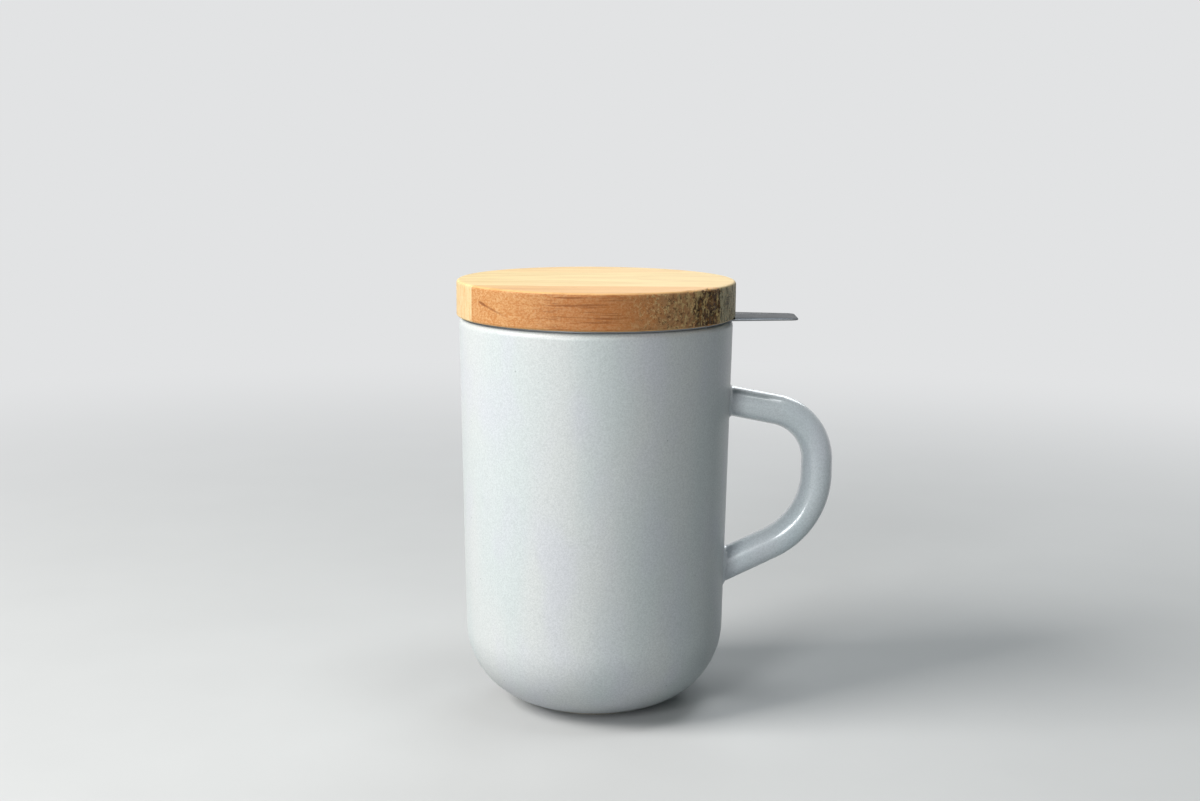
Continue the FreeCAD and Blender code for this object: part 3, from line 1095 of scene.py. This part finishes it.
@dataclass
class Infuser:
    """The steel basket with its rim plate and tab. Sizes are millimetres."""

    sheet: float = 0.5
    edge_round: float = 0.12
    plate_columns: int = 361
    tab_root: float = 21.0
    tab_tip: float = 15.0
    tip_round: float = 2.6
    root_round: float = 3.0
    root_lead: float = 0.25
    root_turn: float = 0.085
    collar_rounds: tuple[float, float] = (0.1, 0.2)
    wall_taper: float = 2.45
    slot_width: float = 0.9
    slot_length: float = 10.0
    slot_bridge: float = 2.6
    slot_spacing: float = 5.0
    slot_margin: float = 2.0
    slot_shoulder: float = 0.8
    floor_slot: float = 5.0
    floor_bridge: float = 1.6
    floor_spacing: float = 5.8
    dish_round: float = 1.0
    skirt: float = 4.0
    weld_gap: float = 0.05
    around: int = 192

    def __post_init__(self) -> None:
        """Reads the basket's heights and radii from the frame."""
        plate, collar = node_box("infuser_rim"), node_box("infuser_collar")
        wall = node_box("infuser_wall")
        self.plate_low, self.plate_top = plate[0][2], plate[1][2]
        self.plate_radius, self.tab_end = -plate[0][0], plate[1][0]
        self.collar_radius, self.collar_low = collar[1][0], collar[0][2]
        self.wall_low, self.wall_top = wall[0][2], wall[1][2]
        self.wall_top_radius = wall[1][0]
        self.wall_low_radius = self.wall_top_radius - self.wall_taper
        self.floor_low = node_box("infuser_floor")[0][2]

    def wall_radius(self, z: np.ndarray | float) -> np.ndarray | float:
        """Outside radius of the tapering wall at height z."""
        share = (z - self.wall_low) / (self.wall_top - self.wall_low)
        return self.wall_low_radius + (self.wall_top_radius - self.wall_low_radius) * share

    def plate_outline(self) -> np.ndarray:
        """Outline of the round plate with its tapering tab, as points (x, y).

        Returns:
            An (n, 2) array of points that runs against the clock.
        """
        root, tip = self.tab_root / 2, self.tab_tip / 2
        corner = math.sqrt(self.plate_radius ** 2 - root ** 2)
        lean = (root - tip) / (self.tab_end - corner)
        start = math.asin(root / self.plate_radius) + self.root_turn
        arc = np.linspace(start, 2 * math.pi - start, self.plate_columns)
        ring = self.plate_radius * np.stack([np.cos(arc), np.sin(arc)], 1)
        x, y = self.plate_radius * math.cos(start), self.plate_radius * math.sin(start)
        inner_x, inner_y = corner + self.root_lead, root - lean * self.root_lead
        tab = rounded_profile([
            (x, -y, 0.0), (inner_x, -inner_y, self.root_round),
            (self.tab_end, -tip, self.tip_round), (self.tab_end, tip, self.tip_round),
            (inner_x, inner_y, self.root_round), (x, y, 0.0),
        ], closed=False, arc_step=6)
        return finer(np.concatenate([ring, tab[1:-1]]), longest=1.0, closed=True)

    def rim(self) -> Mesh:
        """The flat stamped plate: rings (x, y, z) from the outline's rounded edge in to the hole.

        A ring of the edge is turned by an angle a from the edge's middle. It lies e(1 - cos a)
        inside the outline, and e sin a past the edge's straight part, for a rounding e.

        Returns:
            Points and quads.
        """
        outline = self.plate_outline()
        ahead = np.roll(outline, -1, axis=0) - np.roll(outline, 1, axis=0)
        inward = np.stack([-ahead[:, 1], ahead[:, 0]], 1) / np.linalg.norm(ahead, axis=1)[:, None]
        hole = outline / np.linalg.norm(outline, axis=1)[:, None] * self.collar_radius
        turn = np.radians([90, 60, 30, 0, 0, 30, 60, 90])
        inset = self.edge_round * (1 - np.cos(turn))
        rise = self.sheet / 2 - self.edge_round + self.edge_round * np.sin(turn)
        edge = (self.plate_low + self.plate_top) / 2 + np.repeat([1, -1], 4) * rise
        flat = np.concatenate([outline + inward * inset[:, None, None], np.stack([hole, hole])])
        heights = np.concatenate([edge, [self.plate_low, self.plate_top]])
        points = np.dstack([flat, np.broadcast_to(heights[:, None], flat.shape[:2])])
        return points.reshape(-1, 3), grid_faces(len(heights), len(outline), True, True)

    def collar(self) -> Mesh:
        """The plain band under the plate, a closed section turned about the axis.

        Returns:
            Points and quads.
        """
        inner, outer = self.collar_radius - self.sheet, self.collar_radius
        tight, easy = self.collar_rounds
        profile = rounded_profile([
            (inner, self.collar_low, easy), (outer, self.collar_low, easy),
            (outer, self.plate_top, tight), (inner, self.plate_top, easy),
        ], closed=True, arc_step=30)
        return turned_surface(finer(profile, longest=2.0, closed=True), self.around, closed=True)

    def slot_cell(self, width: float, height: float, length: float, above: int = 4,
                  below: int = 4) -> tuple[np.ndarray, np.ndarray]:
        """One flat cell of sheet round an upright slot with round ends.

        The slot's outline is a stadium. Each of its points has a partner on the cell's edge, at
        the same place in the order round the slot, so that quads join the two.

        Args:
            width: Width of the cell.
            height: Height of the cell.
            length: Length of the slot.
            above: Number of parts that the cell's upper edge is cut into.
            below: Number of parts that its lower edge is cut into.

        Returns:
            Points (across, up) of the slot, and as many of the cell's edge.
        """
        radius = self.slot_width / 2
        w, h = width / 2, height / 2
        slot, edge = [], []
        for sign, parts in ((1, above), (-1, below)):
            turn = np.linspace(0, math.pi, parts + 3)
            end = length / 2 - radius + radius * np.sin(turn)
            slot.append(sign * np.stack([radius * np.cos(turn), end], 1))
            across = np.concatenate([[w], np.linspace(w, -w, parts + 1), [-w]])
            up = np.full(parts + 3, h)
            up[[0, -1]] *= self.slot_shoulder
            edge.append(sign * np.stack([across, up], 1))
        return np.concatenate(slot), np.concatenate(edge)

    def pierced(self, front: np.ndarray, back: np.ndarray) -> Mesh:
        """Joins each cell's slot to its edge on both faces of the sheet, and cuts it through.

        Args:
            front: A (cells, 2n, 3) array, in each cell the slot's n points and then the edge's n.
            back: The same points on the sheet's other face.

        Returns:
            Points and quads.
        """
        n = front.shape[1] // 2
        i = np.arange(n)
        j = (i + 1) % n
        quads = np.concatenate([np.stack([i, j, j + n, i + n], 1),
                                np.stack([i + 3 * n, j + 3 * n, j + 2 * n, i + 2 * n], 1),
                                np.stack([i, i + 2 * n, j + 2 * n, j], 1)])
        faces = quads[None] + np.arange(len(front))[:, None, None] * 4 * n
        return np.concatenate([front, back], 1).reshape(-1, 3), faces.reshape(-1, 4)

    def rolled(self, angle: np.ndarray, z: np.ndarray, depth: float) -> np.ndarray:
        """Points of the wall's cone at an angle and a height, at a depth under its outside."""
        radius = self.wall_radius(z) - depth
        return np.stack([radius * np.cos(angle), radius * np.sin(angle), z], -1)

    def tube(self) -> Mesh:
        """The pierced wall: flat sheet (a, z) rolled to (r(z) cos a, r(z) sin a, z).

        Tiers of cells, each turned by half a cell past the one below, lie between plain bands.

        Returns:
            Points and quads.
        """
        low = self.wall_low + self.skirt + self.slot_margin
        high = self.collar_low - self.slot_margin
        pitch = self.slot_length + self.slot_bridge
        tiers = int((high - low + self.slot_bridge) / pitch)
        columns = int(2 * math.pi * self.wall_low_radius / self.slot_spacing)
        step = 2 * math.pi / columns
        bottom = (low + high - tiers * pitch) / 2
        tier, column = np.meshgrid(np.arange(tiers), np.arange(columns), indexing="ij")
        middles = np.stack([(column + tier % 2 / 2) * step, bottom + (tier + 0.5) * pitch], 2)
        slot, edge = self.slot_cell(step, pitch, self.slot_length)
        slot[:, 0] /= (self.wall_low_radius + self.wall_top_radius) / 2
        cells = middles.reshape(-1, 1, 2) + np.concatenate([slot, edge])
        across, up = cells[..., 0], cells[..., 1]
        parts = [self.pierced(self.rolled(across, up, 0.0), self.rolled(across, up, self.sheet))]
        angle = np.arange(columns * 4) * step / 4
        top = bottom + tiers * pitch
        for end, seam in ((self.wall_low, bottom), (self.wall_top, top)):
            corners = ((seam, 0.0), (end, 0.0), (end, self.sheet), (seam, self.sheet))
            band = np.stack([self.rolled(angle, np.full(len(angle), z), depth)
                             for z, depth in corners])
            parts.append((band.reshape(-1, 3), grid_faces(4, len(angle), False, True)))
        return joined(parts)

    def dish(self) -> Mesh:
        """The drawn dish: rings of radial slots bent round the axis, and a turned upright skirt.

        Ring k has k times the first ring's slots. A cell of it has 2(k + 1) parts on its outer
        edge and 2(k - 1) on its inner one, so that the points of neighbouring rings meet.

        Returns:
            Points and quads.
        """
        inner = self.wall_radius(self.wall_low) + self.weld_gap
        top = self.wall_low + self.skirt
        inner_top = self.wall_radius(top) + self.weld_gap
        foot = inner - (inner_top - inner) / self.skirt * self.dish_round
        upper = self.floor_low + self.sheet
        pitch = self.floor_slot + self.floor_bridge
        rings = int((foot - self.dish_round - self.slot_margin) / pitch)
        first_count = int(2 * math.pi * pitch / self.floor_spacing)
        parts = []
        for ring in range(1, rings + 1):
            radius, count = ring * pitch, ring * first_count
            step = 2 * math.pi / count
            slot, edge = self.slot_cell(step, pitch, self.floor_slot, 2 * (ring + 1),
                                        2 * (ring - 1) or 4)
            slot[:, 0] /= radius + slot[:, 1]
            across, up = np.concatenate([slot, edge]).T
            angle = across + np.arange(count)[:, None] * step
            x, y = (radius + up) * np.cos(angle), (radius + up) * np.sin(angle)
            parts.append(self.pierced(np.stack([x, y, np.full(x.shape, upper)], 2),
                                      np.stack([x, y, np.full(x.shape, self.floor_low)], 2)))
        for z in (upper, self.floor_low):
            middle = np.array([[0, z], [pitch / 2, z]])
            parts.append(turned_surface(middle, 4 * first_count, closed=False))
        last = (rings + 0.5) * pitch
        skirt = rounded_profile([
            (last, upper, 0), (foot, upper, self.dish_round), (inner_top, top, 0),
            (inner_top + self.sheet, top, 0),
            (foot + self.sheet, self.floor_low, self.dish_round + self.sheet),
            (last, self.floor_low, 0),
        ], closed=False, arc_step=15)
        around = 2 * rings * (rings + 1) * first_count
        parts.append(turned_surface(finer(skirt, longest=2.0), around, closed=False))
        return joined(parts)

    def build(self, effects: Effects) -> None:
        """Builds the plate and the basket under it.

        Args:
            effects: The shared node groups.
        """
        rim = make_piece("infuser_rim_plate", self.rim())
        fit(rim, DARKENED_PLATE_STEEL.make(effects), Body.INFUSER, Slot.STEEL, "infuser_rim")
        steel = Steel().make(effects)
        for name, mesh, sharp, node in (
                ("infuser_collar_band", self.collar(), SHARP, "infuser_collar"),
                ("infuser_pierced_wall", self.tube(), 40.0, "infuser_wall"),
                ("infuser_pierced_dish", self.dish(), 40.0, "infuser_floor")):
            fit(make_piece(name, mesh, sharp), steel, Body.INFUSER, Slot.STEEL, node)


@dataclass
class Lid:
    """The wooden lid in three staves, with its seal ring. Sizes are millimetres."""

    top_round: float = 1.0
    edge_round: float = 0.7
    flat: float = 30.0
    flat_rows: int = 30
    plug_play: float = 3.0
    plug_round: float = 0.8
    groove_drop: float = 2.2
    groove_height: float = 3.2
    groove_depth: float = 1.5
    fin: float = 0.8
    fin_round: float = 0.15
    seal_gap: float = 0.05
    seal_body: float = 2.1
    seal_around: int = 192
    joint_ease: float = 0.04
    arc_columns: int = 321
    middle_columns: int = 121
    torn_span: tuple[float, float] = (0.66, 1.06)
    torn_waves: int = 14
    torn_depth: float = 0.17

    def __post_init__(self) -> None:
        """Reads the board, plug, joints and seal from the frame."""
        middle, back, seal = (node_box(node) for node in (
            "lid_stave_middle", "lid_stave_back", "lid_seal"))
        self.radius, self.top = middle[1][0], middle[1][2]
        self.front_joint, self.back_joint = middle[0][1], back[0][1]
        self.seat = node_box("infuser_rim")[1][2]
        self.plug = node_box("infuser_collar")[1][0] - self.plug_play
        self.plug_low = middle[0][2]
        self.seal_low, self.seal_high, self.seal_tip = seal[0][2], seal[1][2], seal[1][0]

    def profile(self) -> np.ndarray:
        """The turned lid's outline (r, z), from its flat top down, out, in and under the plug.

        Returns:
            An (n, 2) array of points.
        """
        groove = self.plug - self.groove_depth
        high = self.seat - self.groove_drop
        low = high - self.groove_height
        return finer(rounded_profile([
            (self.flat, self.top, 0), (self.radius, self.top, self.top_round),
            (self.radius, self.seat, self.edge_round), (self.plug, self.seat, 0),
            (self.plug, high, 0), (groove, high, 0), (groove, low, 0), (self.plug, low, 0),
            (self.plug, self.plug_low, self.plug_round), (self.flat, self.plug_low, 0),
        ], closed=False, arc_step=10), longest=0.5)

    def torn(self, points: np.ndarray) -> np.ndarray:
        """Depth of the torn patch on the rim near the tab.

        It's a sum of sines in (arc length, height) over a span of angles, kept where it is above
        zero. Wave k has the pace 0.5 + 0.42 k along a direction turned by 2.4 k, the phase 1.9 k^2
        and the strength 1 / k^0.45.

        Args:
            points: An (..., 3) array of points on the rim.

        Returns:
            How far each point sinks, in millimetres.
        """
        x, y, z = points[..., 0], points[..., 1], points[..., 2]
        angle = np.arctan2(x, -y)
        u, v = angle * self.radius, z - self.seat
        wave = np.zeros(u.shape)
        for order in range(1, self.torn_waves + 1):
            pace, lean = 0.5 + 0.42 * order, 2.4 * order
            phase = pace * (u * math.cos(lean) + v * math.sin(lean)) + 1.9 * order ** 2
            wave += np.sin(phase) / order ** 0.45
        start, end = self.torn_span
        span = np.clip((angle - start) / 0.08, 0, 1) * np.clip((end - angle) / 0.03, 0, 1)
        rim = np.clip((np.hypot(x, y) - self.radius + self.top_round + 0.3) / 0.5, 0, 1)
        board = (z > self.seat + 0.1) & (z < self.top - 0.05)
        return self.torn_depth * np.clip(wave + 0.4, 0, 3.2) * span * rim * board

    def end_stave(self, side: Side) -> Mesh:
        """An outer stave: each ring of the profile runs round its arc, from joint to joint.

        For a radius r and a joint at y the arc spans the angles whose sine is over |y| / r, and
        strips along the joint close the flat ends.

        Args:
            side: Which side of the lid it is on.

        Returns:
            Points and quads.
        """
        place = self.front_joint if side is Side.FRONT else self.back_joint
        joint = abs(place) + self.joint_ease / 2
        inner = np.linspace(joint, self.flat, self.flat_rows, endpoint=False)
        above = np.stack([inner, np.full(self.flat_rows, self.top)], 1)
        below = np.stack([inner[::-1], np.full(self.flat_rows, self.plug_low)], 1)
        profile = np.concatenate([above, self.profile(), below])
        radius, height = profile[:, :1], profile[:, 1:]
        first = np.arcsin(joint / radius)
        angle = first + (math.pi - 2 * first) * np.linspace(0, 1, self.arc_columns)
        points = np.stack([radius * np.cos(angle), side.value * radius * np.sin(angle),
                           height + 0 * angle], 2)
        if side is Side.FRONT:
            away = np.hypot(points[..., 0], points[..., 1])
            points[..., :2] *= (1 - self.torn(points) / away)[..., None]
        rows, columns = points.shape[:2]
        left = np.arange(rows - 1) * columns
        strip = np.stack([left, left + columns, left + 2 * columns - 1, left + columns - 1], 1)
        return points.reshape(-1, 3), np.concatenate([grid_faces(rows, columns), strip])

    def middle_stave(self) -> Mesh:
        """The middle stave: at each y the radius r gives x = sqrt(r^2 - y^2), and its mirror.

        Returns:
            Points and quads.
        """
        profile = self.profile()
        ease = self.joint_ease / 2
        y = np.linspace(self.front_joint + ease, self.back_joint - ease, self.middle_columns)
        x = np.sqrt(profile[:, :1] ** 2 - y ** 2)
        right = np.stack([x, np.broadcast_to(y, x.shape),
                          np.broadcast_to(profile[:, 1:], x.shape)], 2)
        loop = np.concatenate([right, right[::-1] * np.array([-1.0, 1.0, 1.0])])
        rows, columns = loop.shape[:2]
        row = np.arange(rows // 2 - 1)
        faces = [grid_faces(rows, columns, wrap_rows=True)]
        for column in (0, columns - 1):
            a, b = row * columns + column, (rows - 1 - row) * columns + column
            faces.append(np.stack([a, a + columns, b - columns, b], 1))
        return loop.reshape(-1, 3), np.concatenate(faces)

    def seal(self) -> Mesh:
        """The seal ring: its section with two fins, turned about the axis.

        Returns:
            Points and quads.
        """
        inner = self.plug - self.groove_depth + self.seal_gap
        outer = inner + self.seal_body
        low, high, tip, fin = self.seal_low, self.seal_high, self.seal_tip, self.fin
        profile = rounded_profile([
            (inner, low, 0.1), (outer, low, 0.3), (tip, low + fin / 2, self.fin_round),
            (tip, low + fin, self.fin_round), (outer, low + fin, 0.25),
            (outer, high - fin - 0.2, 0.25), (tip, high - fin / 2, self.fin_round),
            (tip, high, self.fin_round), (inner, high, 0.1),
        ], closed=True, arc_step=20)
        return turned_surface(profile, self.seal_around, closed=True)

    def build(self, effects: Effects) -> None:
        """Builds the three staves and the seal.

        Args:
            effects: The shared node groups.
        """
        for name, mesh, sharp, finish, slot, node in (
                ("lid_front_stave", self.end_stave(Side.FRONT), SHARP, FRONT_WOOD,
                 Slot.WOOD_FRONT, "lid_stave_front"),
                ("lid_middle_stave", self.middle_stave(), SHARP, MIDDLE_WOOD,
                 Slot.WOOD_MIDDLE, "lid_stave_middle"),
                ("lid_back_stave", self.end_stave(Side.BACK), SHARP, BACK_WOOD,
                 Slot.WOOD_BACK, "lid_stave_back"),
                ("lid_seal_ring", self.seal(), 50.0, Silicone(), Slot.SILICONE, "lid_seal")):
            fit(make_piece(name, mesh, sharp), finish.make(effects), Body.LID, slot, node)


# Studio


@dataclass(frozen=True)
class Lamp:
    """A rectangular soft lamp: its name, place and size in metres, power in watts and colour."""

    name: str
    place: Place
    size: tuple[float, float]
    watts: float
    colour: Colour

    def build(self, aim: Place) -> None:
        """Adds the lamp.

        Args:
            aim: Point that it faces.
        """
        data = bpy.data.lights.new(self.name, "AREA")
        data.shape = "RECTANGLE"
        data.size, data.size_y = self.size
        data.energy = self.watts
        data.color = self.colour
        lamp = bpy.data.objects.new(self.name, data)
        lamp.location = self.place
        lamp.rotation_mode = "QUATERNION"
        lamp.rotation_quaternion = (Vector(aim) - Vector(self.place)).to_track_quat("-Z", "Y")
        bpy.context.scene.collection.objects.link(lamp)


WINDOW_LEFT = Lamp("window_left", (-0.90, -0.36, 0.80), (0.6, 0.6), 16.2, (1.0, 0.99, 0.975))
WINDOW_FRONT = Lamp("window_front", (-0.48, -1.0, 0.42), (0.25, 0.55), 5.8, (0.95, 0.98, 1.0))
TOP_SOFT = Lamp("top_soft", (0.24, -0.05, 1.05), (0.35, 0.3), 2.2, (0.95, 0.98, 1.0))
BACK_SOFT = Lamp("back_soft", (0.30, 1.15, 0.75), (0.8, 0.5), 4.4, (0.90, 0.96, 1.0))


@dataclass
class Studio:
    """Pale floor, soft lamps and the camera. Sizes are metres."""

    camera_place: Place = (0.00139, -0.52936, 0.18389)
    camera_down: float = 9.557
    camera_roll: float = 0.39
    lens: float = 51.99
    sensor: float = 36.0
    clip: tuple[float, float] = (0.01, 50.0)
    lamps: tuple[Lamp, ...] = (WINDOW_LEFT, WINDOW_FRONT, TOP_SOFT, BACK_SOFT)
    lamp_aim: Place = (0.0, 0.0, 0.07)
    floor_reach: float = 8.0
    floor_colour: Colour = srgb(208, 208, 207)
    floor_shade: float = 0.94
    floor_bounce: Colour = srgb(146, 150, 152)
    floor_roughness: float = 0.8
    floor_gloss: float = 0.15
    world_colour: Colour = srgb(226, 227, 228)
    background: float = 1.0
    fill_colour: Colour = srgb(208, 232, 240)
    fill: float = 0.085
    fade: tuple[float, float] = (0.16, 0.75)

    def seen(self, graph: Graph) -> Socket:
        """1 where the camera or a reflection looks at something, and 0 where light bounces."""
        path = graph.add("LightPath").outputs
        return graph.math("MAXIMUM", path["Is Camera Ray"], path["Is Glossy Ray"])

    def build_floor(self) -> None:
        """A wide pale floor that fades into the surround far off, so that no edge is seen."""
        lines = np.linspace(-self.floor_reach, self.floor_reach, 3)
        x, y = np.meshgrid(lines, lines, indexing="ij")
        data = bpy.data.meshes.new("floor")
        data.from_pydata(np.stack([x, y, 0 * x], 2).reshape(-1, 3).tolist(), [],
                         grid_faces(3, 3).tolist())
        graph = MaterialGraph("pale_floor")
        shade = tuple(value * self.floor_shade for value in self.floor_colour)
        pale = graph.mix(graph.noise(graph.place, 0.02, 3.0), self.floor_colour, shade)
        seen = self.seen(graph)
        graph.shade({"Base Color": graph.mix(seen, self.floor_bounce, pale),
                     "Roughness": self.floor_roughness, "Specular IOR Level": self.floor_gloss})
        away = graph.add("VectorMath", {0: graph.place}, operation="LENGTH").outputs["Value"]
        far = graph.band(away, self.fade[0] * PER_METRE, self.fade[1] * PER_METRE)
        plain = graph.add("Emission", {"Color": self.world_colour, "Strength": self.background})
        mix = graph.add("MixShader", {0: graph.times(far, seen), 1: graph.shader.outputs[0],
                                      2: plain.outputs[0]})
        graph.feed(graph.tree.nodes["Material Output"], {"Surface": mix.outputs[0]})
        data.materials.append(graph.material)
        floor = bpy.data.objects.new("floor", data)
        bpy.context.scene.collection.objects.link(floor)

    def build_world(self) -> None:
        """An even pale surround that gives less light than the camera or a reflection sees."""
        world = bpy.data.worlds.new("studio")
        world.use_nodes = True
        world.node_tree.nodes.clear()
        graph = Graph(world.node_tree)
        light = graph.add("Background", {"Color": self.fill_colour, "Strength": self.fill})
        shown = graph.add("Background", {"Color": self.world_colour, "Strength": self.background})
        mix = graph.add("MixShader", {0: self.seen(graph), 1: light.outputs[0],
                                      2: shown.outputs[0]})
        graph.add("OutputWorld", {"Surface": mix.outputs[0]})
        bpy.context.scene.world = world

    def build_camera(self) -> None:
        """The camera, which looks down on the mug a little."""
        data = bpy.data.cameras.new("camera")
        data.lens = self.lens
        data.sensor_width = self.sensor
        data.clip_start, data.clip_end = self.clip
        camera = bpy.data.objects.new("camera", data)
        tilt = Matrix.Rotation(math.radians(90 - self.camera_down), 4, "X")
        roll = Matrix.Rotation(math.radians(self.camera_roll), 4, "Z")
        camera.matrix_world = Matrix.Translation(self.camera_place) @ tilt @ roll
        bpy.context.scene.collection.objects.link(camera)
        bpy.context.scene.camera = camera

    def build(self) -> None:
        """Builds everything that isn't the object."""
        self.build_floor()
        self.build_world()
        for lamp in self.lamps:
            lamp.build(self.lamp_aim)
        self.build_camera()
        bpy.context.scene.view_settings.view_transform = "Standard"


def main() -> None:
    """Builds the object and the studio."""
    logging.basicConfig(level=logging.INFO, format="%(name)s: %(message)s")
    effects = Effects(mottle_group(), figure_group(), bark_group(), brush_group())
    for assembly in (Mug(), Infuser(), Lid()):
        assembly.build(effects)
    Studio().build()


if __name__ == "__main__":
    main()
